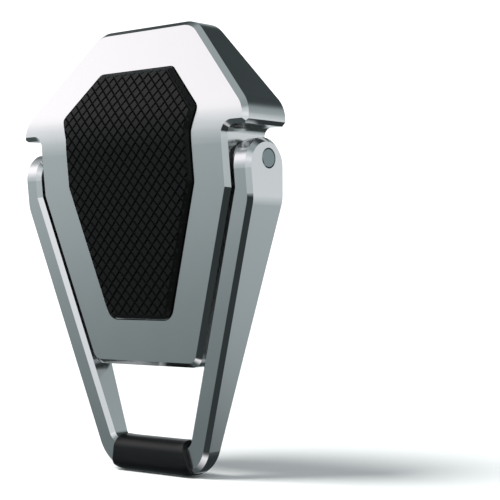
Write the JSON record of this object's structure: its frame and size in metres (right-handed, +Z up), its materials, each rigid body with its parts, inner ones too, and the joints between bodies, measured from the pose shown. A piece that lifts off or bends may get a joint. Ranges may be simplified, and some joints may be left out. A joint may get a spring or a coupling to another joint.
{
  "type": "folding laptop stand foot",
  "caption": "Pocket-sized kite-shaped metal plate with a rubber grip pad and a V-shaped prop leg that swings out behind it, with a rubber sleeve on its foot.",
  "frame": {"origin": "middle of the underside of the folded foot's outer box, under the rubber sleeve", "axes": "+Z up along the plate, +X to the right along the pivot axis, -Y out of the rubber pad, +Y out of the flat back"},
  "size_m": [0.049, 0.0102, 0.07],
  "materials": {
    "satin_aluminium": "satin anodised, polished chamfers",
    "leg_aluminium": "satin anodised, polished chamfers",
    "pad_rubber": "matt, knurled",
    "sleeve_rubber": "semi-matt, smooth",
    "adhesive": "thin adhesive sheet",
    "pin_steel": "turned end",
    "spring_steel": "plain",
    "acetal": "plain"
  },
  "bodies": {
    "plate": {"body_plate": "satin_aluminium", "grip_pad": "pad_rubber", "pad_adhesive": "adhesive", "pivot_pin_left": "pin_steel", "pivot_pin_right": "pin_steel", "thrust_washer_left": "acetal", "thrust_washer_right": "acetal", "spring_washer_left": "spring_steel", "spring_washer_right": "spring_steel"},
    "leg": {"leg_frame": "leg_aluminium", "foot_sleeve": "sleeve_rubber"}
  },
  "joints": [
    {"name": "leg_hinge", "type": "hinge", "parent": "plate", "child": "leg", "pos_m": [0, 0.00084, 0.0482], "axis": [1, 0, 0], "range_deg": [0, 100]}
  ]
}
